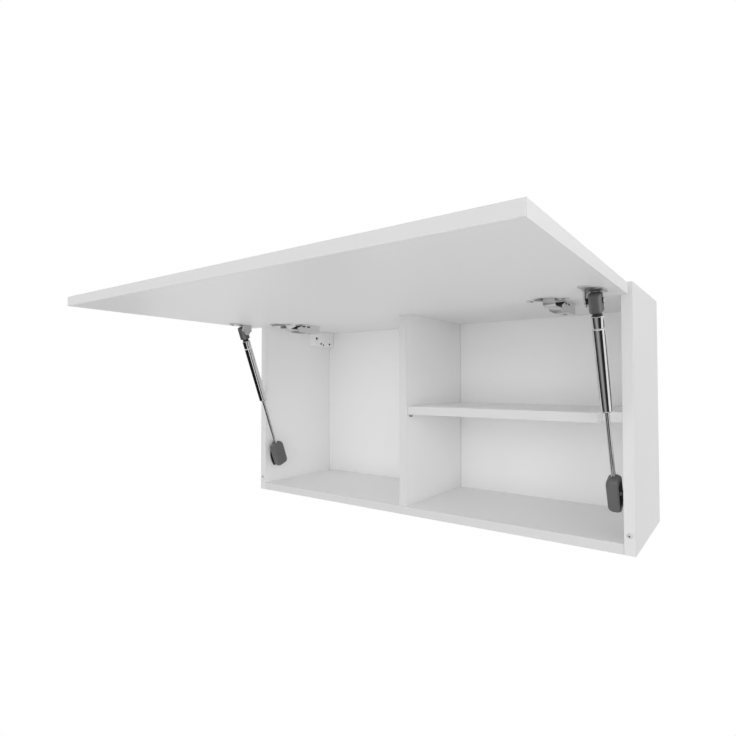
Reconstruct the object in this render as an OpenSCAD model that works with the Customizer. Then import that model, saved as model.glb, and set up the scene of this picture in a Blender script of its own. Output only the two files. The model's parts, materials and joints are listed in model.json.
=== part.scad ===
// Lift up wall cabinet: carcass with a partition and one shelf, a door that
// swings up on two cup hinges, and two gas struts. Millimetres, +Z up.
// Y = 0 is the wall plane, the cabinet faces -Y. Z = 0 is the mid height of the
// bottom panel; in the drawing modules below, z is measured from its underside.
// The door, the struts and the hinge links are drawn in the open rest pose.

/* [Carcass] */
// overall width of the carcass
width = 800; // [640:1:1000]
// overall height of the carcass
height = 400; // [380:1:440]
// depth from the wall plane to the front edges
depth = 240; // [225:1:320]
// thickness of the sides, top, bottom and partition
board_t = 16; // [15:0.5:18]
// rounding of the long board edges
edge_r = 1; // [0.6:0.1:1.6]
// thickness of the back panel
back_t = 3; // [3:0.5:5]
// distance from the wall plane to the back panel
back_recess = 8; // [7:0.5:14]
// depth of the grooves that hold the back panel
groove_deep = 6; // [4:0.5:8]
// diameter of the corner dowels
dowel_d = 8; // [6:0.5:9]

/* [Shelf] */
// height of the shelf underside
shelf_z = 190; // [175:1:225]
// thickness of the shelf
shelf_t = 16; // [15:0.5:19]
// distance of the shelf front edge behind the carcass front
shelf_back = 5; // [3:0.5:12]
// diameter of the shelf pins
pin_d = 5; // [4:0.5:6]

/* [Door] */
// thickness of the door
door_t = 16; // [15:0.5:20]
// gap between the closed door and the carcass front
door_gap = 3; // [2.6:0.1:4]
// overhang of the closed door below the carcass
door_over = 11; // [0:0.5:20]
// how much narrower the door is on each side
door_trim = 2; // [1:0.5:4]
// swing from closed to the open rest pose, degrees
open_angle = 90.6; // [86:0.1:94]
// distance of the swing axis in front of the carcass
pole_out = 25; // [24:0.5:28]
// diameter of the door bumpers
bumper_d = 8; // [6:0.5:10]

/* [Strut] */
// distance of the strut axis from the side panel
strut_in = 16; // [15.8:0.1:17.5]
// reach of the door stud from the door inner face
stud_reach = 15; // [14.5:0.5:18]
// drop of the door stud below the carcass top, door closed
stud_drop = 56; // [54:0.5:58]
// distance of the lower stud behind the carcass front
foot_in = 27; // [25:0.5:32]
// height of the lower stud above the carcass underside
foot_up = 83; // [75:1:95]
// diameter of the four studs
stud_d = 6; // [5:0.25:6.5]
// outer diameter of the strut barrel
barrel_d = 17; // [16:0.25:18]
// length of the strut barrel
barrel_len = 143; // [125:1:150]
// diameter of the strut rod
rod_d = 7; // [6:0.25:8]
// width of the strut head across the swing plane
head_w = 18; // [17:0.5:19]
// thickness of the strut head along the stud
head_t = 18; // [16:0.5:19]
// length of the strut cap
cap_len = 56; // [53:0.5:62]
// width of the strut cap across the swing plane
cap_w = 29.5; // [29:0.5:32]

/* [Hinge] */
// distance of the hinge centres from the carcass outside
hinge_in = 110; // [90:1:140]
// diameter of the hinge cups
cup_d = 35; // [35:0.25:38]
// distance of the cup centres from the door top edge
cup_drop = 22.5; // [22:0.1:23.5]
// length of the hinge arms
arm_len = 72; // [66:0.5:80]
// width of the hinge links
link_w = 18.4; // [17:0.1:18.6]

/* [Hanger] */
// length of the corner hangers along the side
hanger_len = 76; // [72:1:84]
// height of the corner hangers
hanger_h = 38.5; // [37:0.5:44]

/* [Hidden] */
$fn = 64;
eps = 0.05;                     // running play and screw play, radial
in_x = width / 2 - board_t;     // inner face of a side
in_top = height - board_t;      // underside of the top panel
back_y = depth - back_recess - back_t; // front face of the back panel
door_in = -door_gap;            // inner face of the closed door
play = 0.5;                     // play at the shelf ends and in the grooves

// points are [y, z], y measured from the carcass front plane
pole = [-pole_out, height];
function turn(p, a) = [p.x * cos(a) - p.y * sin(a), p.x * sin(a) + p.y * cos(a)];
function opened(p) = pole + turn(p - pole, -open_angle);

// strut: upper stud on the door, lower stud on the side
stud_shut = [door_in + stud_reach, height - stud_drop];
stud_open = opened(stud_shut);
foot = [foot_in, foot_up];
strut_x = in_x - strut_in;
strut_len = norm(foot - stud_open);
lean = atan2(foot.x - stud_open.x, stud_open.y - foot.y);
stud_r = stud_d / 2;
head_up = 12.4;                 // stud centre to the top of the head
head_low = 17.3;                // stud centre to the underside of the head
head_chamfer = 3.5;
head_top_r = 8;                 // lets the head turn clear of the bracket plate
head_diag = (head_t + head_w - 2 * head_chamfer) * sqrt(0.5); // across the chamfers
barrel_top = head_low + 3.5;    // stud centre to the barrel
barrel_end = barrel_top + barrel_len;
barrel_r = barrel_d / 2;
bore_r = barrel_r - 1;
rod_r = rod_d / 2;
guide_len = 12;
plug_len = 10;
piston_len = 10;
piston_top = barrel_end - guide_len - piston_len - 1;
cap_t = 20;
cap_corner = 5;
cap_slot_w = 25;                // room for the lower stud across the strut
cap_slot_h = 37.2;              // room for the lower stud along the strut
rod_end = strut_len - cap_slot_h / 2 - 2.4;
cap_floor = 8;                  // closed wall of the cap on the inner side

// side bracket: a leaf of two arcs round the lower stud
leaf_h = 30;
leaf_w = 12;
leaf_r = (leaf_h * leaf_h + leaf_w * leaf_w) / (2 * leaf_w);
leaf_t = 3;
leaf_boss = 5.5;
leaf_screw = 17;

// door bracket
tab_x = strut_x - head_t / 2 - 4.5;
tab_t = 2;
plate_t = 2;
arc_r = strut_x + 12.5 - tab_x;
arc_z = stud_shut.y - 16;
bracket_screws = [[tab_x + 8, arc_z - 20], [tab_x + 20, arc_z - 8]];

// cup hinge
hinge_x = width / 2 - hinge_in;
cup_z = height - cup_drop;
cup_r = cup_d / 2;
cup_deep = 11.5;
cup_wall = 1;
cup_room = 10.6;
flange_t = 1.2;
flange_r = cup_r + 2;
wing_x = cup_r + 6.5;
wing_r = 8;
wing_up = 6;                    // flange screws towards the door's top edge
pin_r = 1.25;
pin_half = 12;
knuckle_r = 2.1;
link_t = 2;
cup_pin_deep = 5.8;             // pin centre behind the door's inner face
cup_pin_up = 11.3;              // pin centre towards the door's top edge
link_pin = opened([door_in - cup_pin_deep, cup_z + cup_pin_up]);
link_bend = link_pin + [3.6, -15];
link_over = 0.45;               // both link bars run past the bend by this
link_nose = [6, height - 30.5];
arm_w = 22;
arm_wall = 1.6;
link_gap = arm_w / 2 - arm_wall; // half the room for the link
arm_low = height - 35;
arm_top = in_top - 3;
web_y = 33;
plate_screws = [arm_len - 32, arm_len - 12];
plate_screw_len = 13;
adjuster_y = arm_len - 22;
spring_low = arm_low + 9.5;

// shelf notch that lets the strut through when the door is shut
notch_x = strut_x - 19;
shut_run = (stud_shut.y - shelf_z) / (stud_shut.y - foot.y);
notch_y = stud_shut.x + (foot.x - stud_shut.x) * shut_run + barrel_r + 12;
pin_r2 = pin_d / 2;
pin_z = shelf_z - pin_r2;
pin_in = 8;
pin_out = 7;
front_pin_y = shelf_back + 9;
notch_pin_y = notch_y + 9;
rear_pin_y = back_y - 39;

// bumpers: a ball segment in front of the side's edge
bumper_out = door_gap - 0.3;
bumper_ball = (bumper_d * bumper_d / 4 + bumper_out * bumper_out) / (2 * bumper_out);

// dowels
dowel_r = dowel_d / 2;
dowel_y = [35, depth / 2, depth - 35];
dowel_from_back = 70;
partition_dowel_y = [60, depth - dowel_from_back];
dowel_side = 10;
dowel_end = 20;

// corner hanger
hanger_t = 15;
hanger_y = back_y - 1 - hanger_len;
hanger_top = in_top - 0.5;
peg_r = 4;
peg_len = 8;
hook_t = 3;
hook_x = in_x - 10;
hook_drop = 20;
hook_z = in_top - hook_drop;
hook_h = 12;
hook_reach = depth - 2;

white = [0.94, 0.94, 0.93];
steel = [0.62, 0.63, 0.65];
bright = [0.82, 0.83, 0.85];
dark = [0.25, 0.26, 0.28];
black = [0.08, 0.08, 0.09];
wood = [0.78, 0.64, 0.45];

// ---- placing ----
// children drawn with y measured from the carcass front plane
module from_front() {
  translate([0, -depth, -board_t / 2]) children();
}

// children drawn with the door closed, shown in the open rest pose
module on_door() {
  from_front()
    translate([0, pole.x, pole.y])
      rotate([-open_angle, 0, 0])
        translate([0, -pole.x, -pole.y]) children();
}

// children drawn along the strut: origin at the door stud, -z to the lower stud
module on_strut() {
  from_front()
    translate([strut_x, stud_open.x, stud_open.y])
      rotate([lean, 0, 0]) children();
}

module mirrored() {
  mirror([1, 0, 0]) children();
}

module both() {
  children();
  mirrored() children();
}

// ---- shapes ----
// a profile drawn as (y, z), extruded along +x
module along_x(len) {
  rotate([90, 0, 90]) linear_extrude(len) children();
}

// a profile drawn as (x, z), extruded along y, centred
module along_y(len) {
  rotate([90, 0, 0]) linear_extrude(len, center = true) children();
}

module rod_x(r, len) {
  rotate([0, 90, 0]) cylinder(r = r, h = len);
}

module rod_y(r, len) {
  rotate([-90, 0, 0]) cylinder(r = r, h = len);
}

module round_rect(w, h, r) {
  translate([r, 0]) square([w - 2 * r, h]);
  translate([0, r]) square([w, h - 2 * r]);
  for (p = [[r, r], [w - r, r], [r, h - r], [w - r, h - r]]) {
    translate(p) circle(r);
  }
}

// a straight bar of thickness t from p to q and a little past q
module bar(p, q, t, past) {
  translate(p)
    rotate(atan2(q.y - p.y, q.x - p.x))
      translate([0, -t / 2]) square([norm(q - p) + past, t]);
}

// ---- carcass ----
module dowel_holes_x(z) {
  for (y = dowel_y) {
    translate([in_x - dowel_end - play, y, z]) rod_x(dowel_r + eps, dowel_end + dowel_side + 2 * play);
  }
}

module partition_dowel_holes() {
  for (y = partition_dowel_y) {
    for (z = [board_t, in_top]) {
      translate([0, y, z - dowel_end / 2 - play]) cylinder(r = dowel_r + eps, h = dowel_end + 2 * play);
    }
  }
}

// holes in the right side face, mirrored for the left
module side_blank() {
  difference() {
    translate([in_x, 0, 0]) linear_extrude(height) round_rect(board_t, depth, edge_r);
    translate([in_x - 1, back_y - 0.1, board_t - groove_deep])
      cube([groove_deep + 1, back_t + 0.1, in_top - board_t + 2 * groove_deep]);
    dowel_holes_x(board_t / 2);
    dowel_holes_x(height - board_t / 2);
    translate([width / 2 - board_t / 2, -1, board_t + 12.5]) rod_y(bumper_d / 4 + eps, 10);
    for (z = [-leaf_screw, leaf_screw]) {
      translate([in_x - 1, foot.x, foot.y + z]) rod_x(1.6 + eps, 13);
    }
    for (y = [hanger_y + 14, hanger_y + hanger_len - 14]) {
      translate([in_x - 1, y, hanger_top - 22]) rod_x(peg_r + eps, peg_len + 1 + play);
    }
  }
}

module side_right() {
  color(white) from_front() difference() {
    side_blank();
    for (y = [notch_pin_y, rear_pin_y]) {
      translate([in_x - 1, y, pin_z]) rod_x(pin_r2 + eps, pin_in + 1 + play);
    }
  }
}

module side_left() {
  color(white) mirrored() from_front() side_blank();
}

// a board between the sides with a groove on one face
module end_board(low, groove_z) {
  difference() {
    translate([-in_x, 0, low]) along_x(2 * in_x) round_rect(depth, board_t, edge_r);
    translate([-in_x - 1, back_y - 0.1, groove_z]) cube([2 * in_x + 2, back_t + 0.1, groove_deep]);
    both() dowel_holes_x(low + board_t / 2);
    partition_dowel_holes();
  }
}

module top_panel() {
  color(white) from_front() difference() {
    end_board(in_top, in_top);
    both() for (y = plate_screws) {
      translate([hinge_x, y, in_top - 1]) cylinder(r = 1.6 + eps, h = 12);
    }
  }
}

module bottom_panel() {
  color(white) from_front() end_board(0, board_t - groove_deep);
}

module partition() {
  color(white) from_front() difference() {
    translate([-board_t / 2, 0, board_t])
      linear_extrude(in_top - board_t) round_rect(board_t, back_y, edge_r);
    partition_dowel_holes();
    for (y = [front_pin_y, rear_pin_y]) {
      translate([board_t / 2 - pin_in - play, y, pin_z]) rod_x(pin_r2 + eps, pin_in + play + 1);
    }
  }
}

module shelf() {
  color(white) from_front() difference() {
    translate([board_t / 2 + play, shelf_back, shelf_z])
      along_x(in_x - board_t / 2 - 2 * play) round_rect(back_y - shelf_back - play, shelf_t, edge_r);
    translate([notch_x, shelf_back - 1, shelf_z - 1])
      cube([in_x - notch_x, notch_y - shelf_back + 1, shelf_t + 2]);
  }
}

module back_panel() {
  back_w = 2 * (in_x + groove_deep - play);
  color(white) from_front() difference() {
    translate([-back_w / 2, back_y, board_t - groove_deep + play])
      cube([back_w, back_t, in_top - board_t + 2 * (groove_deep - play)]);
    both() translate([hook_x - 3, back_y - 1, hook_z - 2]) cube([hook_t + 6, back_t + 2, hook_h + 4]);
  }
}

module carcass_dowels() {
  color(wood) from_front() {
    both() for (y = dowel_y) {
      for (z = [board_t / 2, height - board_t / 2]) {
        translate([in_x - dowel_end, y, z]) rod_x(dowel_r, dowel_end + dowel_side);
      }
    }
    for (y = partition_dowel_y) {
      for (z = [board_t, in_top]) {
        translate([0, y, z - dowel_end / 2]) cylinder(r = dowel_r, h = dowel_end);
      }
    }
  }
}

// a pin along +x with a rounded free end at the origin
module shelf_pin() {
  translate([pin_r2, 0, 0]) sphere(pin_r2);
  translate([pin_r2, 0, 0]) rod_x(pin_r2, pin_in + pin_out - pin_r2);
}

module shelf_pins() {
  color(steel) from_front() {
    for (y = [notch_pin_y, rear_pin_y]) {
      translate([in_x - pin_out, y, pin_z]) shelf_pin();
    }
    for (y = [front_pin_y, rear_pin_y]) {
      translate([board_t / 2 + pin_out, y, pin_z]) mirror([1, 0, 0]) shelf_pin();
    }
  }
}

module door_bumpers() {
  color([0.85, 0.86, 0.86]) from_front() both()
    translate([width / 2 - board_t / 2, 0, board_t + 12.5]) {
      intersection() {
        translate([0, bumper_ball - bumper_out, 0]) sphere(bumper_ball);
        translate([0, -bumper_out, 0]) rod_y(bumper_d / 2, bumper_out);
      }
      rod_y(bumper_d / 4, 8);
    }
}

// ---- corner hangers ----
hanger_holes = [[9, -18, 3.2], [26, -31, 2.6], [35, -34, 2], [59, -31, 2.6]];

module hanger_body() {
  difference() {
    union() {
      translate([in_x - hanger_t, hanger_y, hanger_top - hanger_h])
        along_x(hanger_t) round_rect(hanger_len, hanger_h, 2.5);
      for (y = [14, hanger_len - 14]) {
        translate([in_x - 1, hanger_y + y, hanger_top - 22]) rod_x(peg_r, peg_len + 1);
      }
    }
    for (h = hanger_holes) {
      translate([in_x - hanger_t - 1, hanger_y + h.x, hanger_top + h.y]) rod_x(h.z, 10);
    }
    translate([hook_x - eps, hanger_y + hanger_len - 34, hook_z - eps])
      cube([hook_t + 2 * eps, 40, hook_h + 2 * eps]);
  }
}

module hanger_right() {
  color(white) from_front() hanger_body();
}

module hanger_left() {
  color(white) mirrored() from_front() hanger_body();
}

module hook() {
  translate([hook_x, hanger_y + hanger_len - 34, hook_z])
    cube([hook_t, hook_reach - hanger_y - hanger_len + 34, hook_h]);
  translate([hook_x - 6, hook_reach - 3, hook_z - 12]) cube([hook_t + 12, 3, hook_h + 12]);
}

module hanger_hook_right() {
  color(steel) from_front() hook();
}

module hanger_hook_left() {
  color(steel) mirrored() from_front() hook();
}

module hanger_screws() {
  color(steel) from_front() both() {
    for (h = [hanger_holes[0], hanger_holes[3]]) {
      translate([in_x - hanger_t + 5, hanger_y + h.x, hanger_top + h.y]) difference() {
        rod_x(h.z, 4);
        translate([-1, 0, 0]) rod_x(h.z / 2, 2.5);
      }
    }
  }
}

// ---- door ----
module door_panel() {
  color(white) on_door() difference() {
    translate([-width / 2 + door_trim, door_in - door_t, -door_over])
      along_x(width - 2 * door_trim) round_rect(door_t, height + door_over, edge_r);
    both() {
      translate([hinge_x, door_in - cup_deep - play, cup_z]) rod_y(cup_r, cup_deep + 2);
      for (x = [-wing_x, wing_x]) {
        translate([hinge_x + x, door_in - 11, cup_z + wing_up]) rod_y(1.6 + eps, 12);
      }
      for (p = bracket_screws) {
        translate([p.x, door_in - 11, p.y]) rod_y(1.6 + eps, 12);
      }
    }
  }
}

// ---- cup hinges ----
module hinge_cup() {
  translate([hinge_x, door_in, cup_z]) difference() {
    union() {
      translate([0, -cup_deep, 0]) rod_y(cup_r - eps, cup_deep);
      translate([0, flange_t / 2, 0]) along_y(flange_t) {
        circle(flange_r);
        translate([-wing_x, wing_up - wing_r]) square([2 * wing_x, 2 * wing_r]);
        for (x = [-wing_x, wing_x]) {
          translate([x, wing_up]) circle(wing_r);
        }
      }
    }
    translate([0, -cup_room, 0]) rod_y(cup_r - eps - cup_wall, cup_room + flange_t + 1);
    translate([-pin_half, -cup_pin_deep, cup_pin_up]) rod_x(pin_r, 2 * pin_half);
    translate([-link_gap, -2, 0]) cube([2 * link_gap, flange_t + 3, flange_r + 1]);
    for (x = [-wing_x, wing_x]) {
      translate([x, -1, wing_up]) rod_y(1.6 + eps, flange_t + 2);
    }
  }
}

module hinge_cup_right() {
  color(steel) on_door() hinge_cup();
}

module hinge_cup_left() {
  color(steel) mirrored() on_door() hinge_cup();
}

module hinge_cup_pins() {
  color(steel) on_door() both()
    translate([hinge_x - pin_half, door_in - cup_pin_deep, cup_z + cup_pin_up]) rod_x(pin_r, 2 * pin_half);
}

// a pan head screw along -y, the head's underside at the origin
module screw_y(len) {
  rod_y(3.2, 1.2);
  translate([0, -len, 0]) rod_y(1.6, len);
}

module hinge_screws_door() {
  color(steel) on_door() both() for (x = [-wing_x, wing_x]) {
    translate([hinge_x + x, door_in + flange_t, cup_z + wing_up]) screw_y(flange_t + 10);
  }
}

module link_profile() {
  difference() {
    union() {
      translate(link_pin) circle(knuckle_r);
      bar(link_pin, link_bend, link_t, link_over);
      bar(link_nose, link_bend, link_t, link_over);
      translate(link_nose) circle(knuckle_r);
    }
    translate(link_pin) circle(pin_r + eps);
    translate(link_nose) circle(pin_r + eps);
  }
}

module hinge_link() {
  translate([hinge_x - link_w / 2, 0, 0]) along_x(link_w) link_profile();
}

module hinge_link_right() {
  color(bright) from_front() hinge_link();
}

module hinge_link_left() {
  color(bright) mirrored() from_front() hinge_link();
}

module arm_wall_profile() {
  polygon([[3, arm_low], [arm_len - 3, arm_low], [arm_len, arm_low + 4], [arm_len, arm_top],
    [16, arm_top], [0, arm_low + 9], [0, arm_low + 3]]);
  translate([3, arm_low + 3]) circle(3);
}

module hinge_arm() {
  difference() {
    union() {
      translate([hinge_x - arm_w / 2, 0, 0]) along_x(arm_wall) arm_wall_profile();
      translate([hinge_x + arm_w / 2 - arm_wall, 0, 0]) along_x(arm_wall) arm_wall_profile();
      translate([hinge_x - arm_w / 2, web_y, arm_low]) cube([arm_w, arm_len - web_y - 4, arm_wall]);
    }
    translate([hinge_x - arm_w, link_nose.x, link_nose.y]) rod_x(1.5, 2 * arm_w);
    translate([hinge_x, adjuster_y, arm_low - 1]) cylinder(r = 2 + eps, h = arm_wall + 2);
  }
}

module hinge_arm_right() {
  color(steel) from_front() hinge_arm();
}

module hinge_arm_left() {
  color(steel) mirrored() from_front() hinge_arm();
}

// each rivet fills one wall of the arm and leaves the room between the walls free
module hinge_arm_rivets() {
  color(steel) from_front() both() translate([hinge_x, link_nose.x, link_nose.y]) both()
    translate([arm_w / 2 - arm_wall, 0, 0]) {
      rod_x(1.5, arm_wall);
      translate([arm_wall, 0, 0]) rod_x(2.3, 1);
    }
}

// the dark spring block that fills the room above the link's nose
module hinge_springs() {
  color(black) from_front() both() translate([hinge_x - link_gap, 0, 0]) along_x(2 * link_gap)
    polygon([[10, spring_low], [30, spring_low], [30, arm_top], [16, arm_top],
      [10, spring_low + 3]]);
}

module hinge_plate() {
  difference() {
    translate([hinge_x - arm_w / 2, 14, arm_top]) cube([arm_w, arm_len - 12, 3]);
    for (y = plate_screws) {
      translate([hinge_x, y, arm_top - 1]) cylinder(r = 1.6 + eps, h = 5);
    }
  }
}

module hinge_plate_right() {
  color(steel) from_front() hinge_plate();
}

module hinge_plate_left() {
  color(steel) mirrored() from_front() hinge_plate();
}

module hinge_screws_top() {
  color(steel) from_front() both() for (y = plate_screws) {
    translate([hinge_x, y, arm_top - 1.6]) cylinder(r = 3.2, h = 1.6);
    translate([hinge_x, y, arm_top]) cylinder(r = 1.6, h = plate_screw_len);
  }
}

module hinge_adjusters() {
  color(steel) from_front() both() translate([hinge_x, adjuster_y, arm_low]) {
    translate([0, 0, -1.2]) cylinder(r = 3.6, h = 1.2);
    cylinder(r = 2, h = arm_top - arm_low - 1);
  }
}

// ---- door brackets and studs ----
module door_bracket() {
  difference() {
    union() {
      translate([0, door_in + plate_t / 2, 0]) along_y(plate_t) {
        translate([tab_x, arc_z]) square([arc_r, stud_shut.y + 12 - arc_z]);
        intersection() {
          translate([tab_x, arc_z]) circle(arc_r);
          translate([tab_x, arc_z - arc_r]) square([arc_r, arc_r]);
        }
      }
      translate([tab_x, 0, 0]) along_x(tab_t) {
        translate([door_in, stud_shut.y - 12]) square([stud_reach, 24]);
        translate(stud_shut) circle(8);
      }
    }
    translate([tab_x - 1, stud_shut.x, stud_shut.y]) rod_x(stud_r, tab_t + 2);
    for (p = bracket_screws) {
      translate([p.x, door_in - 1, p.y]) rod_y(1.6 + eps, plate_t + 2);
    }
  }
}

module door_bracket_right() {
  color(steel) on_door() door_bracket();
}

module door_bracket_left() {
  color(steel) mirrored() on_door() door_bracket();
}

module door_bracket_screws() {
  color(steel) on_door() both() for (p = bracket_screws) {
    translate([p.x, door_in + plate_t, p.y]) screw_y(plate_t + 10);
  }
}

module door_studs() {
  color(steel) on_door() both() translate([tab_x, stud_shut.x, stud_shut.y]) {
    translate([-1, 0, 0]) rod_x(stud_r + 1.5, 1);
    rod_x(stud_r, strut_x + head_t / 2 + 1.6 - tab_x);
  }
}

// washers on the studs, on either side of the strut head
module stud_washers() {
  color(black) on_door() both() for (x = [tab_x + tab_t, strut_x + head_t / 2 + 0.1]) {
    translate([x, stud_shut.x, stud_shut.y]) difference() {
      rod_x(stud_r + 1.2, x > strut_x ? 1.2 : strut_x - head_t / 2 - 0.1 - x);
      translate([-1, 0, 0]) rod_x(stud_r, 6);
    }
  }
}

// ---- gas struts ----
module strut_head() {
  difference() {
    intersection() {
      translate([-head_t / 2, 0, 0]) along_x(head_t) translate([-head_w / 2, -head_low]) {
        round_rect(head_w, head_low + head_up, head_top_r);
        round_rect(head_w, head_low + head_up - head_top_r, 5);
      }
      along_y(head_w + 2) translate([-head_t / 2, -head_low]) round_rect(head_t, head_low + head_up, 5);
      translate([0, 0, -head_low - 1]) linear_extrude(head_low + head_up + 2)
        intersection() {
          translate([-head_t / 2, -head_w / 2]) square([head_t, head_w]);
          rotate(45) translate([-head_diag / 2, -head_diag / 2]) square([head_diag, head_diag]);
        }
    }
    translate([-head_t, 0, 0]) rod_x(stud_r + eps, 2 * head_t);
    translate([0, 0, -head_low - 1]) cylinder(r = bore_r - 1, h = 7);
  }
}

module strut_head_right() {
  color(dark) on_strut() strut_head();
}

module strut_head_left() {
  color(dark) mirrored() on_strut() strut_head();
}

module strut_neck() {
  translate([0, 0, -barrel_top]) cylinder(r = bore_r - 1, h = barrel_top - head_low + 6);
  translate([0, 0, -barrel_top - plug_len]) cylinder(r = bore_r, h = plug_len);
}

module strut_neck_right() {
  color(black) on_strut() strut_neck();
}

module strut_neck_left() {
  color(black) mirrored() on_strut() strut_neck();
}

module strut_barrel() {
  difference() {
    translate([0, 0, -barrel_end]) cylinder(r = barrel_r, h = barrel_len);
    translate([0, 0, -barrel_end - 1]) cylinder(r = bore_r, h = barrel_len + 2);
    translate([0, 0, -barrel_top - 18]) rotate_extrude() translate([barrel_r + 0.3, 0]) circle(0.9);
  }
}

module strut_barrel_right() {
  color(bright) on_strut() strut_barrel();
}

module strut_barrel_left() {
  color(bright) mirrored() on_strut() strut_barrel();
}

module strut_guide() {
  difference() {
    translate([0, 0, -barrel_end - 1]) cylinder(r = bore_r, h = guide_len);
    translate([0, 0, -barrel_end - 2]) cylinder(r = rod_r + eps, h = guide_len + 4);
  }
}

module strut_guide_right() {
  color(black) on_strut() strut_guide();
}

module strut_guide_left() {
  color(black) mirrored() on_strut() strut_guide();
}

module strut_rod() {
  translate([0, 0, -rod_end]) cylinder(r = rod_r, h = rod_end - piston_top - 2);
}

module strut_rod_right() {
  color(bright) on_strut() strut_rod();
}

module strut_rod_left() {
  color(bright) mirrored() on_strut() strut_rod();
}

module strut_piston() {
  difference() {
    translate([0, 0, -piston_top - piston_len]) cylinder(r = bore_r - eps, h = piston_len);
    translate([0, 0, -piston_top - piston_len - 1]) cylinder(r = rod_r, h = piston_len - 1);
  }
}

module strut_piston_right() {
  color(dark) on_strut() strut_piston();
}

module strut_piston_left() {
  color(dark) mirrored() on_strut() strut_piston();
}

module strut_cap() {
  difference() {
    intersection() {
      translate([-cap_t / 2, 0, -strut_len]) along_x(cap_t)
        translate([-cap_w / 2, -cap_len / 2]) round_rect(cap_w, cap_len, 8);
      translate([0, 0, -strut_len]) along_y(cap_w + 2)
        translate([-cap_t / 2, -cap_len / 2]) round_rect(cap_t, cap_len, 8);
      translate([-cap_t / 2, -cap_w / 2, -strut_len - cap_len / 2 - 1])
        linear_extrude(cap_len + 2) round_rect(cap_t, cap_w, cap_corner);
    }
    translate([cap_floor - cap_t / 2, -cap_slot_w / 2, -strut_len - cap_slot_h / 2])
      cube([cap_t, cap_slot_w, cap_slot_h]);
    translate([0, 0, -rod_end]) cylinder(r = rod_r, h = cap_len);
  }
}

module strut_cap_right() {
  color(dark) on_strut() strut_cap();
}

module strut_cap_left() {
  color(dark) mirrored() on_strut() strut_cap();
}

// ---- lower brackets on the sides ----
module side_bracket() {
  difference() {
    union() {
      translate([in_x - leaf_t, 0, 0]) along_x(leaf_t) translate(foot) intersection() {
        translate([leaf_r - leaf_w, 0]) circle(leaf_r);
        translate([leaf_w - leaf_r, 0]) circle(leaf_r);
      }
      translate([in_x - leaf_boss, foot.x, foot.y]) rod_x(6, leaf_boss);
    }
    translate([in_x - leaf_boss - 1, foot.x, foot.y]) rod_x(stud_r, leaf_boss - 0.5);
    for (z = [-leaf_screw, leaf_screw]) {
      translate([in_x - leaf_t - 1, foot.x, foot.y + z]) rod_x(1.6 + eps, leaf_t + 2);
    }
  }
}

module side_bracket_right() {
  color(black) from_front() side_bracket();
}

module side_bracket_left() {
  color(black) mirrored() from_front() side_bracket();
}

module side_bracket_screws() {
  color(steel) from_front() both() for (z = [-leaf_screw, leaf_screw]) {
    translate([in_x - leaf_t, foot.x, foot.y + z]) {
      translate([-1.2, 0, 0]) rod_x(3.2, 1.2);
      rod_x(1.6, leaf_t + 11);
    }
  }
}

module side_studs() {
  color(steel) from_front() both() translate([in_x, foot.x, foot.y])
    translate([-strut_in - cap_t / 2 + cap_floor + 1.5, 0, 0])
      rod_x(stud_r, strut_in + cap_t / 2 - cap_floor - 3);
}

side_left();
side_right();
top_panel();
bottom_panel();
partition();
shelf();
back_panel();
carcass_dowels();
shelf_pins();
door_bumpers();
hanger_left();
hanger_right();
hanger_hook_left();
hanger_hook_right();
hanger_screws();
door_panel();
hinge_cup_left();
hinge_cup_right();
hinge_cup_pins();
hinge_screws_door();
hinge_link_left();
hinge_link_right();
hinge_arm_left();
hinge_arm_right();
hinge_arm_rivets();
hinge_springs();
hinge_plate_left();
hinge_plate_right();
hinge_screws_top();
hinge_adjusters();
door_bracket_left();
door_bracket_right();
door_bracket_screws();
door_studs();
stud_washers();
strut_head_left();
strut_head_right();
strut_neck_left();
strut_neck_right();
strut_barrel_left();
strut_barrel_right();
strut_guide_left();
strut_guide_right();
strut_rod_left();
strut_rod_right();
strut_piston_left();
strut_piston_right();
strut_cap_left();
strut_cap_right();
side_bracket_left();
side_bracket_right();
side_bracket_screws();
side_studs();
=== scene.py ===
"""Looks for the white lift up wall cabinet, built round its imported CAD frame.

The boards, hinge arms and cups, brackets, hangers and bumpers keep their CAD solids and
only get a finish here. What shows of the struts, the hinge links and the screws are
surfaces worked out with numpy: a profile turned about an axis, or outlines carried
along a path.
Sizes are in millimetres and become metres when a surface is placed in the row frame;
the stage, the lamps and the camera are in metres.
"""

import json
import math

import bpy
import numpy as np
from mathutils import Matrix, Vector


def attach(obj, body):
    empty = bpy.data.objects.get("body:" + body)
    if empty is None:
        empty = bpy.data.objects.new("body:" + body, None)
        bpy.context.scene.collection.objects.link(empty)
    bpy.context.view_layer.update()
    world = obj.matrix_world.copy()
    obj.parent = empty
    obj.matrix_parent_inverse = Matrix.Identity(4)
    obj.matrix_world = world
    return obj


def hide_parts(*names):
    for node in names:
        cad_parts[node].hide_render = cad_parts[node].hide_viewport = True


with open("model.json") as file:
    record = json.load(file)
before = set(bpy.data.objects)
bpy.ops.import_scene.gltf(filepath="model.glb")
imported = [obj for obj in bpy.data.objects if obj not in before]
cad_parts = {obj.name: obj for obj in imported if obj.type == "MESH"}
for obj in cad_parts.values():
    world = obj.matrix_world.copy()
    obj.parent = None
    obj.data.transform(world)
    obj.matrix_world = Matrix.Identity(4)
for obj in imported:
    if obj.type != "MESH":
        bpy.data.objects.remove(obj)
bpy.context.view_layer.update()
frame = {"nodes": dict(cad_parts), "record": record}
nodes = frame["nodes"]
MM = 0.001
SIDES = (("left", -1.0), ("right", 1.0))

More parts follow.
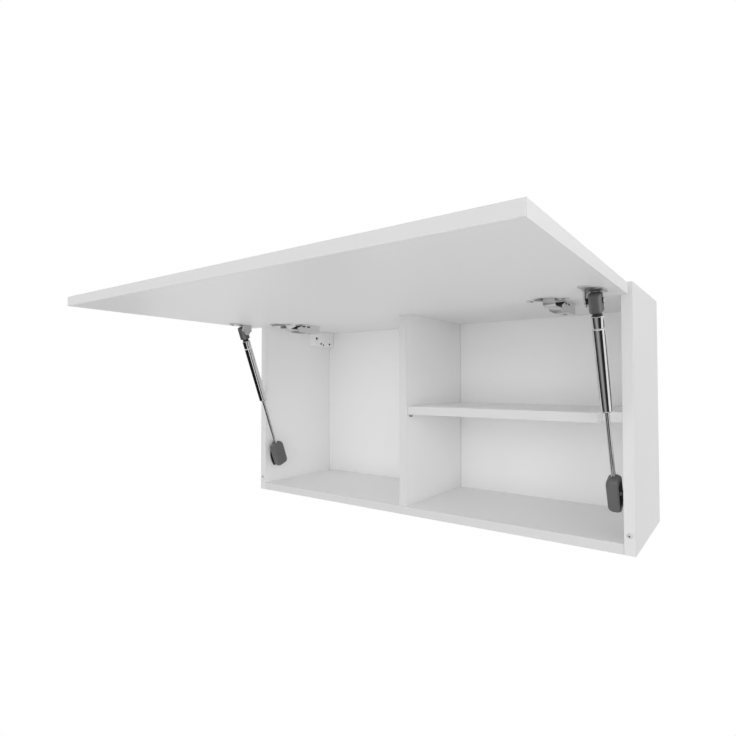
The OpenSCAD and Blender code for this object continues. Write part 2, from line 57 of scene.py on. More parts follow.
# ---------------------------------------------------------------- sizes, mm
WIDTH, HEIGHT, DEPTH = 800.0, 400.0, 240.0
BOARD = 16.0
LOW = BOARD / 2  # Z = 0 of the row frame lies this far above the underside
INNER_SIDE = WIDTH / 2 - BOARD
INNER_TOP = HEIGHT - BOARD - LOW
INNER_LOW = BOARD - LOW
SHELF_BACK = 5.0  # the shelf's front edge stands this far behind the carcass front
SWING = math.radians(90.6)  # from shut to open
POLE = np.array([0.0, -25.0 - DEPTH, HEIGHT - LOW])  # on the door's axis
STRUT_X = 368.0
# The studs as (y, z) in the row frame, with the door open.
UPPER_STUD = np.array([-321.3844, 363.5884 - LOW])
LOWER_STUD = np.array([27.0 - DEPTH, 83.0 - LOW])
STRUT_LONG = float(np.linalg.norm(LOWER_STUD - UPPER_STUD))
LEAN = math.atan2(LOWER_STUD[0] - UPPER_STUD[0], UPPER_STUD[1] - LOWER_STUD[1])
HINGE_X = 290.0
CREASE = math.radians(35.0)  # sharper edges than this aren't shaded smooth


# ---------------------------------------------------------------- surfaces
def turned(points, angle):
    """Points turned about the X axis: y' = y cos a - z sin a, z' = y sin a + z cos a."""
    c, s = math.cos(angle), math.sin(angle)
    x, y, z = points[..., 0], points[..., 1], points[..., 2]
    return np.stack([x, y * c - z * s, y * s + z * c], -1)


def along_strut(points, side):
    """Strut points, z = 0 at the upper stud and -STRUT_LONG at the lower one, leant by LEAN
    about X and moved to the upper stud."""
    placed = turned(points * [side, 1, 1], LEAN)
    return placed + [side * STRUT_X, UPPER_STUD[0], UPPER_STUD[1]]


def with_door(points, side):
    """Points given with the door shut, y from the carcass front and z from the underside,
    turned about the door's axis to the open rest pose."""
    shut = points * [side, 1, 1] - [0, DEPTH, LOW]
    return turned(shut - POLE, -SWING) + POLE


def in_carcass(points, side):
    """Points given with y from the carcass front and z from the underside, moved into the row
    frame; side is -1 for the mirrored left one."""
    return points * [side, 1, 1] - [0, DEPTH, LOW]


def lathe(profile, around=64):
    """A profile of (radius, height) turned about Z: x = r cos u, y = r sin u, z = h."""
    profile = np.asarray(profile, float)
    u = np.linspace(0, 2 * np.pi, around, endpoint=False)
    r, h = profile[:, :1], profile[:, 1:]
    return np.stack([r * np.cos(u), r * np.sin(u), h + 0 * u], -1)


def along_x_axis(points):
    """Points whose height becomes +X: (x, y, z) goes to (z, x, y)."""
    return points[..., [2, 0, 1]]


def along_y_axis(points):
    """Points whose height becomes +Y: (x, y, z) goes to (y, z, x)."""
    return points[..., [1, 2, 0]]


def soft_rect(width, height, radius, arc):
    """Outline of a rectangle with round corners: four quarter circles of arc points each,
    (R cos a, R sin a) from the corner's middle, joined by straight sides."""
    a = np.linspace(0, np.pi / 2, arc)
    corner = np.stack([np.cos(a), np.sin(a)], -1) * radius
    mid = np.array([width / 2 - radius, height / 2 - radius])
    quarter = [corner + mid]
    for sx, sy in ((-1, 1), (-1, -1), (1, -1)):
        turn = corner * [sx, sy] + mid * [sx, sy]
        quarter.append(turn[::-1] if sx * sy < 0 else turn)
    return np.concatenate(quarter)


def skin(rings, ring_closed):
    """Points and outward faces of one closed surface given as rings of points: each cell
    between neighbouring rings gives two triangles. Open ends are closed to a pole at their
    middle; ring_closed joins the last ring to the first instead. The faces are turned round
    if the volume they enclose, a sum of a . (b x c), comes out negative."""
    count, around = rings.shape[:2]
    points = rings.reshape(-1, 3)
    here = np.arange(count * around).reshape(count, around)
    last = count if ring_closed else count - 1
    a = here[np.arange(last)]
    b = here[(np.arange(last) + 1) % count]
    ahead, beyond = np.roll(a, -1, 1), np.roll(b, -1, 1)
    tri = np.concatenate([np.stack([a, ahead, beyond], -1).reshape(-1, 3),
                          np.stack([a, beyond, b], -1).reshape(-1, 3)])
    if not ring_closed:
        points = np.concatenate([points, rings[0].mean(0)[None], rings[-1].mean(0)[None]])
        low, high = count * around, count * around + 1
        first, final = here[0], here[-1]
        tri = np.concatenate([tri, np.stack([np.roll(first, -1), first, np.full(around, low)], -1),
                              np.stack([final, np.roll(final, -1), np.full(around, high)], -1)])
    t = points[tri] - points.mean(0)
    if np.einsum("ij,ij->i", t[:, 0], np.cross(t[:, 1], t[:, 2])).sum() < 0:
        tri = tri[:, ::-1]
    return points, tri


def piece(name, surfaces, body, finish, hides=(), ring_closed=False, highlight_share=None):
    """One object from one closed surface, or from a list of them, such as a set of screws.
    Its last argument gives a value of 0 to 1 for each point of the rings, which the finish reads as a
    share of painted highlight."""
    surfaces = surfaces if isinstance(surfaces, list) else [surfaces]
    made = [skin(np.asarray(rings, float) * MM, ring_closed) for rings in surfaces]
    starts = np.cumsum([0] + [len(points) for points, _ in made[:-1]])
    mesh = bpy.data.meshes.new(name)
    mesh.from_pydata(np.concatenate([points for points, _ in made]).tolist(), [],
                     np.concatenate([tri + at for (_, tri), at in zip(made, starts)]).tolist())
    # Each point's share of painted highlight, kept as a mesh attribute for the finish.
    if highlight_share is not None:
        values = np.append(highlight_share.ravel(), np.zeros(len(mesh.vertices) - highlight_share.size))
        mesh.attributes.new("highlight_share", "FLOAT", "POINT").data.foreach_set("value", values)
    mesh.validate()
    mesh.shade_smooth()
    mesh.set_sharp_from_angle(angle=CREASE)
    thing = bpy.data.objects.new(name, mesh)
    bpy.context.scene.collection.objects.link(thing)
    mesh.materials.append(finish.material)
    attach(thing, body)
    if hides:
        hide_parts(*hides)


# ---------------------------------------------------------------- finishes
class Wire:
    """A socket of a finish. Sums and products of wires add Math nodes."""

    def __init__(self, finish, socket):
        self.finish, self.socket = finish, socket

    def math(self, operation, *others, swap=False):
        """One Math node, with this wire as its first input, or as its second when swapped."""
        pair = (others[0], self) if swap else (self, *others)
        return self.finish.add("ShaderNodeMath", {"operation": operation}, dict(enumerate(pair)))

    def __add__(self, other):
        return self.math("ADD", other)

    __radd__ = __add__

    def __sub__(self, other):
        return self.math("SUBTRACT", other)

    def __rsub__(self, other):
        return self.math("SUBTRACT", other, swap=True)

    def __mul__(self, other):
        return self.math("MULTIPLY", other)

    __rmul__ = __mul__

    def abs(self):
        return self.math("ABSOLUTE")

    def step(self, low, high):
        """0 below low, 1 above high, smooth between."""
        return self.finish.add("ShaderNodeMapRange", {"interpolation_type": "SMOOTHSTEP"},
                               {"Value": self, "From Min": low, "From Max": high})


class Finish:
    """One material: a Principled shader, and the nodes that drive it."""

    def __init__(self, name, slot, **plain):
        self.slot = slot
        self.material = bpy.data.materials.new(name)
        self.material.use_nodes = True
        self.tree = self.material.node_tree
        self.shader = next(n for n in self.tree.nodes if n.type == "BSDF_PRINCIPLED")
        self.set(**{key.replace("_", " "): value for key, value in plain.items()})
        self.place = self.add("ShaderNodeTexCoord", out="Object")

    def add(self, kind, settings=None, inputs=None, out=0):
        """Adds a node: its settings first, then the values or wires of its inputs."""
        node = self.tree.nodes.new(kind)
        for key, value in (settings or {}).items():
            setattr(node, key, value)
        for key, value in (inputs or {}).items():
            if isinstance(value, Wire):
                self.tree.links.new(value.socket, node.inputs[key])
            else:
                node.inputs[key].default_value = value
        return Wire(self, node.outputs[out])

    def set(self, **inputs):
        """Gives the shader's inputs values or wires."""
        for key, value in inputs.items():
            if isinstance(value, Wire):
                self.tree.links.new(value.socket, self.shader.inputs[key])
            else:
                self.shader.inputs[key].default_value = value

    def noise(self, scale, detail=2.0, rough=0.5, place=None):
        """Noise of 0 to 1 with features of about 1 / scale metres."""
        return self.add("ShaderNodeTexNoise", None, {
            "Vector": place or self.place, "Scale": scale, "Detail": detail, "Roughness": rough})

    def axis(self, letter):
        """One coordinate of the place on the object, in metres."""
        return self.add("ShaderNodeSeparateXYZ", None, {"Vector": self.place}, out=letter)

    def tint(self, amount, low, high):
        """A colour between low and high."""
        return self.add("ShaderNodeMix", {"data_type": "RGBA"},
                        {"Factor": amount, 6: low if isinstance(low, Wire) else (*low, 1.0),
                         7: high if isinstance(high, Wire) else (*high, 1.0)}, out=2)

    def line(self, letter, at, half, edge=None):
        """1 within half of a plane square to an axis, falling to 0 over the edge (half again
        unless it is given), in metres."""
        return 1.0 - (self.axis(letter) - at).abs().step(half, half + (edge or half))

    def spot(self, y, z, radius):
        """1 inside a round spot seen along X, falling to 0 over its rim, in metres."""
        across, up = self.axis("Y") - y, self.axis("Z") - z
        return 1.0 - (across * across + up * up).step(radius ** 2, (radius * 1.15) ** 2)

    def bump(self, height, distance, strength):
        """A normal from a height of 0 to 1 that stands distance metres tall."""
        return self.add("ShaderNodeBump", None,
                        {"Height": height, "Distance": distance, "Strength": strength}, out="Normal")

    def stretched(self, x, y, z):
        """The place with its axes scaled, for a grain that runs one way."""
        return self.add("ShaderNodeMapping", None, {"Vector": self.place, "Scale": (x, y, z)},
                        out="Vector")


def grey(value, share=1.0):
    """A neutral colour of this sRGB value of 0 to 255, as linear numbers, times a share."""
    v = value / 255.0
    linear = v / 12.92 if v <= 0.04045 else ((v + 0.055) / 1.055) ** 2.4
    return (share * linear,) * 3


# Painted shade along the joints in the inside corners: how deep it goes and its tone; then the same
# for the faint glue lines of the edging.
JOINT_SHADE_DEPTH, JOINT_SHADE_SHARE = 0.3, 0.5
BAND_DEPTH, BAND_SHARE = 0.5, 0.8
STRIP_FADE = 0.05 * MM


def melamine(name, white, slot="melamine", joint_shade=(), bands=(), shaded_strips=()):
    """White faced board: a faint cloud in the tone, a fine pearl texture and a soft sheen.
    Of its three lists of marks, the first gives the dark lines where it meets other boards, painted
    shade in those inside corners, and the second, bands, the faint joints of its glued edging, each as
    (axis letter, place, half width) in millimetres. The last gives the edge strip on each front edge,
    a tone below the faces, which is painted shade on the edges facing the front: (axis letter, place,
    way past it, share)."""
    f = Finish(name, slot, Roughness=0.45)
    cloud = f.noise(5.0, detail=3.0)
    pearl = f.noise(1400.0, detail=1.0)
    shade = f.tint(cloud * 0.5 + pearl * 0.5, grey(white, 0.985), grey(white))
    relief = pearl * 0.7 + f.noise(350.0) * 0.3
    # Painted shade: each edge strip a tone below the faces where its edge faces the front.
    for letter, at, way, share in shaded_strips:
        mask = ((f.axis(letter) - at * MM) * way).step(-STRIP_FADE, STRIP_FADE)
        shade = f.tint(mask, shade, grey(white, share))
    # The dark joint lines are painted shade in the inside corners where boards meet; the faint bands
    # are the glue lines of the edging.
    for depth, share, places in ((JOINT_SHADE_DEPTH, JOINT_SHADE_SHARE, joint_shade), (BAND_DEPTH, BAND_SHARE, bands)):
        for letter, at, half in places:
            mark = f.line(letter, at * MM, half * MM) * depth
            shade = f.tint(mark, shade, grey(white, share))
    f.set(**{"Base Color": shade, "Roughness": cloud * 0.08 + 0.4 + pearl * 0.05,
             "Normal": f.bump(relief, 0.02 * MM, 0.35)})
    return f


def metal(name, slot, tone, rough, scale=60.0):
    """Plated steel: a grain with features of about 1 / (14 scale) metres, and a cloudy polish."""
    f = Finish(name, slot, Metallic=1.0)
    grain = f.noise(14.0, detail=4.0, rough=0.6, place=f.stretched(scale, scale, scale))
    cloud = f.noise(60.0)
    low, high = grey(tone, 0.86), grey(tone, 1.06)
    f.set(**{"Base Color": f.tint(grain * 0.6 + cloud * 0.4, low, high),
             "Roughness": grain * 0.08 + cloud * 0.06 + rough,
             "Normal": f.bump(grain, 0.01 * MM, 0.3)})
    return f


def plastic(name, slot, tone, rough, mottle=0.12):
    """Moulded plastic: a fine spark-eroded texture and a little cloud in the sheen."""
    f = Finish(name, slot)
    erode = f.noise(2600.0)
    cloud = f.noise(40.0)
    low, high = grey(tone, 1 - mottle), grey(tone, 1 + mottle)
    f.set(**{"Base Color": f.tint(erode * 0.5 + cloud * 0.5, low, high),
             "Roughness": cloud * 0.1 + erode * 0.05 + rough,
             "Normal": f.bump(erode, 0.03 * MM, 0.5)})
    return f


def beech(name):
    """Beech dowel: long pores along X, the way most of the pins lie."""
    f = Finish(name, "dowel_wood", Roughness=0.6)
    pores = f.noise(60.0, detail=4.0, rough=0.6, place=f.stretched(0.15, 8.0, 8.0))
    dark, light = (0.52, 0.33, 0.17), (0.72, 0.52, 0.31)
    f.set(**{"Base Color": f.tint(pores, dark, light), "Normal": f.bump(pores, 0.05 * MM, 0.5)})
    return f


def marked(f, mask, tone):
    """Gives a finish another tone where the mask is 1."""
    colour = f.shader.inputs["Base Color"]
    under = Wire(f, colour.links[0].from_socket)
    f.set(**{"Base Color": f.tint(mask, under, grey(tone))})


# The glued edging: its thickness, the half width of its glue line, and its tone as a share of the
# faces' tone, also for the sides and the door. That lower tone is painted shade on the edges facing
# the front, fitted to how they are lit.
STRIP_T, GLUE = 0.8, 0.12
EDGE_SHADE, SIDE_EDGE_SHADE, DOOR_EDGE_SHADE = 0.71, 0.765, 0.93 * 0.71
DOOR_HALF = 398.0
DOOR_STRIP_Y = -675.5  # the open door's front edge lies at -676.2


def front_band_and_shade(share, back=0.0):
    """The glued edge strip on a board's front edge, as melamine takes it: its glue line, and its lower
    tone, which is painted shade. back is how far that edge stands behind the carcass front."""
    inner = STRIP_T + back - DEPTH
    return {"bands": (("Y", inner, GLUE),), "shaded_strips": (("Y", inner, -1, share),)}


def on_both_sides(letter, at, half):
    """Two marks, left and right of the middle."""
    return (letter, -at, half), (letter, at, half)


WHITE = 250
# Painted shade as dark lines in the inside corners where the boards meet.
END_JOINT_SHADE = on_both_sides("X", INNER_SIDE, 0.22)
UPRIGHT_JOINT_SHADE = (("Z", INNER_LOW, 0.3), ("Z", INNER_TOP, 0.3))
BACK_JOINT_SHADE = (*on_both_sides("X", INNER_SIDE, 0.5), ("X", -BOARD / 2, 0.4), ("X", BOARD / 2, 1.2),
              ("Z", INNER_LOW, 0.3), ("Z", INNER_TOP, 0.25))
BY_NODE = {
    "side_left": melamine("melamine_side_left", WHITE, **front_band_and_shade(SIDE_EDGE_SHADE)),
    "side_right": melamine("melamine_side_right", WHITE, **front_band_and_shade(SIDE_EDGE_SHADE)),
    "top_panel": melamine("melamine_top", WHITE, joint_shade=END_JOINT_SHADE, **front_band_and_shade(EDGE_SHADE)),
    "bottom_panel": melamine("melamine_bottom", WHITE, joint_shade=END_JOINT_SHADE, **front_band_and_shade(EDGE_SHADE)),
    "partition": melamine("melamine_partition", WHITE, joint_shade=UPRIGHT_JOINT_SHADE, **front_band_and_shade(EDGE_SHADE)),
    "shelf": melamine("melamine_shelf", WHITE, **front_band_and_shade(EDGE_SHADE, SHELF_BACK)),
    # Painted shade on the door's front edge only; its side edges, with the same edge strip, keep the
    # faces' tone.
    "door_panel": melamine("melamine_door", WHITE, bands=on_both_sides("X", DOOR_HALF - STRIP_T, GLUE),
                           shaded_strips=(("Y", DOOR_STRIP_Y, -1, DOOR_EDGE_SHADE),)),
    "back_panel": melamine("painted_back", WHITE - 1, "back_board", joint_shade=BACK_JOINT_SHADE),
}

hinge_plating = metal("hinge_plating", "hinge_steel", 232, 0.3)
bracket_plating = metal("bracket_plating", "bracket_steel", 216, 0.34)
screw_plating = metal("screw_plating", "screw_steel", 190, 0.3)
barrel_polish = metal("barrel_polish", "barrel_chrome", 225, 0.0, scale=1.0)
rod_polish = metal("rod_polish", "rod_chrome", 215, 0.12, scale=1.0)
cap_grey = plastic("cap_grey", "grey_plastic", 97, 0.4)
trim_black = plastic("trim_black", "black_plastic", 32, 0.4)
dowel_beech = beech("dowel_beech")


def gap_shadow_plating():
    """The hinge arms' plating, with two dark dashes on each flank: painted shadow of the gap between
    the arm and its mounting plate.
    """
    f = metal("arm_plating", "hinge_steel", 232, 0.3)
    for y in (-221.0, -205.5):
        along = f.line("Y", at=y * MM, half=4.6 * MM, edge=0.4 * MM)
        level = f.line("Z", at=370.6 * MM, half=1.4 * MM, edge=0.3 * MM)
        # Painted shadow: a dark dash where the gap under the mounting plate lies in shade.
        marked(f, along * level, tone=28)
    return f


def chamfer_lit_grey():
    """The strut heads' plastic, with painted highlight on the chamfers, which the head's attribute
    names.
    """
    f = plastic("head_grey", "grey_plastic", 80, 0.4)
    share = f.add("ShaderNodeAttribute", {"attribute_name": "highlight_share"}, out="Fac")
    # Painted highlight: the chamfers lighter, as if they caught more light.
    marked(f, share * 0.9, tone=122)
    return f


def hole_shade_white():
    """The hangers' plastic, with painted shade in the screw holes of its inner flank, given as (y, z,
    radius).
    """
    f = plastic("hanger_white", "hanger_plastic", WHITE, 0.35, mottle=0.01)
    holes = ((-79.0, 357.5, 3.3), (-62.0, 344.5, 2.7), (-53.0, 341.5, 2.1), (-29.0, 344.5, 2.7))
    for y, z, radius in holes:
        # Painted shade: a dark spot for the shade inside each screw hole.
        marked(f, f.spot(y * MM, z * MM, radius * MM), tone=45)
    return f


def dotted_bumper():
    """The bumpers' soft clear plastic, with a dark round dot in the middle of each front."""
    f = plastic("bumper_soft", "bumper_plastic", 205, 0.3, mottle=0.02)
    across = f.axis("X").abs() - (INNER_SIDE + BOARD / 2) * MM
    up = f.axis("Z") - 20.5 * MM
    inner, outer = 1.0 * MM, 1.5 * MM
    dot = 1.0 - (across * across + up * up).step(inner ** 2, outer ** 2)
    marked(f, dot, tone=60)
    return f


arm_plating, head_grey = gap_shadow_plating(), chamfer_lit_grey()
hanger_white, bumper_clear = hole_shade_white(), dotted_bumper()
BY_NODE.update({"hinge_arm_left": arm_plating, "hinge_arm_right": arm_plating})
BY_SLOT = {f.slot: f for f in (
    hinge_plating, bracket_plating, screw_plating, barrel_polish, rod_polish,
    cap_grey, trim_black, hanger_white, bumper_clear, dowel_beech)}
for part in frame["record"]["subparts"]:
    finish = BY_NODE.get(part["node"]) or BY_SLOT[part["material_slot"]]
    shown = nodes[part["node"]].data.materials
    shown.clear()
    shown.append(finish.material)

# ---------------------------------------------------------------- gas struts
# z = 0 at the upper stud; the parts below it are given by how far down they lie.
HEAD_W, HEAD_T, HEAD_UP, HEAD_LOW = 18.0, 18.0, 12.4, 17.3
HEAD_END, HEAD_CROWN = 5.0, 8.0  # radii of its rounded ends
HEAD_CHAMFER, FACET_POWER = 14.5, 22  # |x| + |y| on a chamfer; higher powers give sharper edges
BARREL_R, BORE_R, ROD_R = 8.5, 7.5, 3.5
BARREL_TOP, BARREL_END = 20.8, 163.8
RIM, MOUTH_IN, MOUTH_LONG = 0.9, 1.0, 1.5
GROOVE_DOWN, GROOVE_DEEP, GROOVE_STEP = 18.0, 0.7, 0.9  # the last is its length for each radian
PLUG_R, PLUG_GAP = 6.5, 0.02
CAP_W, CAP_T, CAP_LONG = 29.5, 20.0, 56.0
CAP_SIDE, CAP_END, CAP_CORNER = 5.0, 8.0, 8.0  # its roundings in width, in length, and in outline
SLOT_W, SLOT_H, SLOT_CORNER, CAP_FLOOR = 25.0, 37.2, 1.5, 8.0
ROD_TOP, ROD_EDGE = 143.0, 0.4
QUARTER = 1.57  # a quarter turn


def inset(depth, radius):
    """How far a rounded end stands in at a depth below its tip: R - sqrt(R^2 - (R - depth)^2),
    and nothing below R."""
    over = np.clip(radius - depth, 0.0, radius)
    return radius - np.sqrt(radius * radius - over * over)


def strut_head():
    """Moulded end as rings up the strut, closest near both ends, and its chamfers. In plan,
    r(u) is a smooth minimum of the four faces and the four 45 degree chamfers,
    (sum of f^22)^(-1/22), where f is 1 on a face at r = 1; the faces draw in towards both
    rounded ends. A point's chamfer share is the chamfer's part of that sum."""
    rise = 0.5 - 0.5 * np.cos(np.pi * np.clip(np.linspace(0, 1, 56), 0.02, 0.985))
    z = -HEAD_LOW + (HEAD_LOW + HEAD_UP) * rise
    foot, top = z + HEAD_LOW, HEAD_UP - z
    half_x = HEAD_T / 2 - inset(foot, HEAD_END) - inset(top, HEAD_END)
    half_y = HEAD_W / 2 - inset(foot, HEAD_END) - inset(top, HEAD_CROWN)
    u = np.linspace(0, 2 * np.pi, 96, endpoint=False)
    c, s = np.abs(np.cos(u)) + 1e-6, np.abs(np.sin(u)) + 1e-6
    chamfer = np.broadcast_to((c + s) / HEAD_CHAMFER, (len(z), len(u)))
    terms = np.stack([c / half_x[:, None], s / half_y[:, None], chamfer]) ** FACET_POWER
    total = terms.sum(0)
    r = total ** (-1 / FACET_POWER)
    return np.stack([r * np.cos(u), r * np.sin(u), z[:, None] + 0 * u], -1), terms[2] / total


def strut_cap():
    """Moulded cap round the lower stud: rings of one soft rectangle along X, x = -R cos a,
    drawn in by inset() towards both faces, then turned in at the open rim and down the
    walls of the slot to its floor."""
    half = CAP_T / 2
    x = -half + half * (1 - np.cos(np.linspace(0.12, np.pi / 2, 14)))
    x = np.concatenate([x, -x[-2::-1]])
    depth = half - np.abs(x)
    side = inset(depth, CAP_SIDE)
    rings = list(zip(CAP_W - 2 * side, CAP_LONG - 2 * inset(depth, CAP_END), CAP_CORNER - side, x))
    rings = [ring for ring in rings if ring[0] > SLOT_W + 1.0 or ring[3] < 0]
    rings += [(SLOT_W, SLOT_H, SLOT_CORNER, at) for at in (rings[-1][3] - 0.4, 3.0, CAP_FLOOR - half)]
    out = []
    for w, h, r, at in rings:
        flat = soft_rect(w, h, r, arc=10)
        out.append(np.column_stack([np.full(len(flat), at), flat[:, 0], flat[:, 1] - STRUT_LONG]))
    return np.stack(out)


def strut_barrel():
    """Profile of the rolled tube: a rim on a quarter round, a groove rolled in as a cosine
    squared, a mouth drawn in on a quarter ellipse, and the bore."""
    groove = [(BARREL_R - GROOVE_DEEP * math.cos(t) ** 2 * (abs(t) < 1.5),
               -BARREL_TOP - GROOVE_DOWN + GROOVE_STEP * t)
              for t in np.linspace(QUARTER, -QUARTER, 13)]
    rim = [(BORE_R + RIM * math.sin(t) + 0.1, -BARREL_TOP - RIM + RIM * math.cos(t))
           for t in np.linspace(0, QUARTER, 6)]
    mouth = [(BARREL_R - MOUTH_IN + MOUTH_IN * math.cos(t),
              -BARREL_END + MOUTH_LONG - MOUTH_LONG * math.sin(t))
             for t in np.linspace(0, QUARTER, 6)]
    return [(BORE_R, -BARREL_TOP), *rim, *groove, *mouth, (BORE_R, -BARREL_END)]


def strut_neck():
    """Profile of the black plug between head and barrel: a waist, a shoulder on the barrel's
    rim, and the part inside the barrel."""
    inside = BORE_R - PLUG_GAP
    return [(PLUG_R, -HEAD_LOW + 6), (PLUG_R, -HEAD_LOW - 0.6), (PLUG_R - 0.4, -HEAD_LOW - 1.8),
            (PLUG_R, -BARREL_TOP + 0.3), (7.3, -BARREL_TOP - 0.6), (inside, -BARREL_TOP - 1.4),
            (inside, -BARREL_TOP - 10)]


def strut_guide():
    """Profile of the black rod guide: a ring in the barrel's mouth whose lip is a quarter
    round, dished towards the rod."""
    lip_r, inside, bore = 0.8, BORE_R - PLUG_GAP, ROD_R + 0.05
    lip = [(BORE_R - lip_r + lip_r * math.cos(t), -BARREL_END - 0.2 - lip_r * math.sin(t))
           for t in np.linspace(0, QUARTER, 5)]
    return [(inside, -BARREL_END + 11), *lip, (ROD_R + 0.9, -BARREL_END - 1),
            (bore, -BARREL_END - 0.4), (bore, -BARREL_END + 11)]


def strut_rod():
    """Profile of the rod: a plain round bar, its edges broken, from the piston into the cap."""
    foot = -(STRUT_LONG - SLOT_H / 2 - 2.4)
    end_r = ROD_R - ROD_EDGE
    return [(end_r, -ROD_TOP), (ROD_R, -ROD_TOP - ROD_EDGE), (ROD_R, -200.0),
            (ROD_R, foot + ROD_EDGE), (end_r, foot)]


for side, sign in SIDES:
    upper, lower = f"strut_barrel_{side}", f"strut_rod_{side}"
    head, chamfers = strut_head()
    # The chamfer shares set where the head gets its painted highlight.
    piece(f"head_moulding_{side}", along_strut(head, sign), upper, head_grey, [f"strut_head_{side}"],
          highlight_share=chamfers)
    piece(f"neck_plug_{side}", along_strut(lathe(strut_neck()), sign), upper, trim_black,
          [f"strut_neck_{side}"])
    piece(f"barrel_tube_{side}", along_strut(lathe(strut_barrel(), 96), sign), upper, barrel_polish,
          [f"strut_barrel_{side}"], ring_closed=True)
    piece(f"rod_guide_{side}", along_strut(lathe(strut_guide()), sign), upper, trim_black,
          [f"strut_guide_{side}"], ring_closed=True)
    piece(f"rod_bar_{side}", along_strut(lathe(strut_rod()), sign), lower, rod_polish,
          [f"strut_rod_{side}"])
    piece(f"cap_moulding_{side}", along_strut(strut_cap(), sign), lower, cap_grey,
          [f"strut_cap_{side}"])

# ---------------------------------------------------------------- hinge links and screws
# (y, z) from the carcass front and the underside, with the door open.
CUP_PIN = np.array([-276.3690 + DEPTH, 383.9182])
BEND = CUP_PIN + [3.6, -15.0]
NOSE = np.array([6.0, 369.5])
LINK_W, LINK_T, LINK_CORNER = 18.4, 2.0, 0.6
EYE_R, PIN_R, EYE_EDGE = 2.1, 1.3, 0.2
BEND_REACH = 7.0  # the bend starts this far from its corner
STRIP_END = 1.5  # the strip ends in the wall of the eye, this far from its middle


def link_strip():
    """Pressed link: a soft rectangle carried from eye to eye along (y, z). The bend is the
    quadratic curve of three points, (1-t)^2 a + 2t(1-t) b + t^2 c."""
    into, out = BEND - CUP_PIN, NOSE - BEND
    into, out = into / np.linalg.norm(into), out / np.linalg.norm(out)
    a, c = BEND - BEND_REACH * into, BEND + BEND_REACH * out
    t = np.linspace(0, 1, 15)[:, None]
    curve = (1 - t) ** 2 * a + 2 * t * (1 - t) * BEND + t ** 2 * c
    path = np.concatenate([[CUP_PIN + STRIP_END * into], curve, [NOSE - STRIP_END * out]])
    along = np.gradient(path, axis=0)
    along /= np.linalg.norm(along, axis=1)[:, None]
    outline = soft_rect(LINK_W, LINK_T, LINK_CORNER, arc=6)
    across = np.stack([-along[:, 1], along[:, 0]], -1)
    side = path[:, None] + across[:, None] * outline[None, :, 1:]
    x = np.broadcast_to(outline[:, 0] + HINGE_X, side.shape[:2])
    return np.concatenate([x[..., None], side], -1)


def link_eye(middle):
    """Rolled eye of the link: a ring with a round hole, its edges broken, turned about X."""
    half, edge = LINK_W / 2, EYE_EDGE
    wall = [(PIN_R, edge - half), (PIN_R + edge, -half), (EYE_R - edge, -half), (EYE_R, edge - half),
            (EYE_R, half - edge), (EYE_R - edge, half), (PIN_R + edge, half), (PIN_R, half - edge)]
    return along_x_axis(lathe(wall, 40)) + [HINGE_X, middle[0], middle[1]]


def screw(head_r, head_h, shank_r, shank_long):
    """Pan head screw, head towards +Z: a turned profile whose crown follows
    sqrt(1 - (r / R)^2), with a cross pressed into it. An arm's mask is 1 where a point is
    near its line and not too far out, as shares of the head's radius."""
    r = head_r * np.cos(np.linspace(0, np.pi / 2 - 0.04, 18))
    crown = np.column_stack([r, head_h * (0.5 + 0.5 * np.sqrt(1 - (r / head_r) ** 2))])
    point = min(1.2, shank_long / 3)
    shank = [(shank_r * 0.6, -shank_long), (shank_r, -shank_long + point), (shank_r, 0.0),
             (head_r - 0.1, 0.0)]
    rings = lathe(np.concatenate([shank, crown]), 48)
    x, y = np.abs(rings[..., 0]) / head_r, np.abs(rings[..., 1]) / head_r
    arms = [np.clip((0.17 - p) / 0.06, 0, 1) * np.clip((0.62 - q) / 0.12, 0, 1)
            for p, q in ((x, y), (y, x))]
    deep = 0.55 * head_h * np.maximum(*arms)
    rings[..., 2] -= np.where(rings[..., 2] > 0.3 * head_h, deep, 0)
    return rings


def facing(points, way):
    """A screw turned to face down, back from the door or towards the middle of the cabinet."""
    if way == "down":
        return points * [1, -1, -1]
    return along_y_axis(points) if way == "door" else along_x_axis(points) * [-1, -1, 1]


# Each row: the CAD node, its body, the way its heads face, where the right hand ones seat,
# and their head radius, head height, shank radius and shank length.
SCREWS = (
    ("hinge_screws_door", "door", "door",
     [(HINGE_X + x, -1.8, 383.5) for x in (-24, 24)], (3.2, 1.2, 1.6, 11.2)),
    ("door_bracket_screws", "door", "door",
     [(362.5, -1.0, 308.0), (374.5, -1.0, 320.0)], (3.2, 1.2, 1.6, 12.0)),
    ("hinge_screws_top", "carcass", "down",
     [(HINGE_X, y, 381.0) for y in (40, 60)], (3.2, 1.6, 1.6, 13.0)),
    ("hinge_adjusters", "carcass", "down",
     [(HINGE_X, 50.0, 365.0)], (3.6, 1.2, 2.0, 15.0)),
    ("side_bracket_screws", "carcass", "side",
     [(381.0, 27.0, z) for z in (66, 100)], (3.2, 1.2, 1.6, 14.0)),
)
for node, body, way, places, sizes in SCREWS:
    set_in = with_door if body == "door" else in_carcass
    one = facing(screw(*sizes), way)
    piece(f"{node}_cross", [set_in(one + np.array(at), sign) for _, sign in SIDES for at in places],
          body, screw_plating, [node])
hanger_screws = []  # two to a side, as (y, z, head radius)
for _, sign in SIDES:
    for y, z, radius in ((161.0, 365.5, 3.2), (211.0, 352.5, 2.6)):
        one = facing(screw(radius, 2.0, radius - 0.3, 1.9), "side")
        hanger_screws.append(in_carcass(one + np.array([INNER_SIDE - 8.0, y, z]), sign))
piece("hanger_screws_cross", hanger_screws, "carcass", screw_plating, ["hanger_screws"])
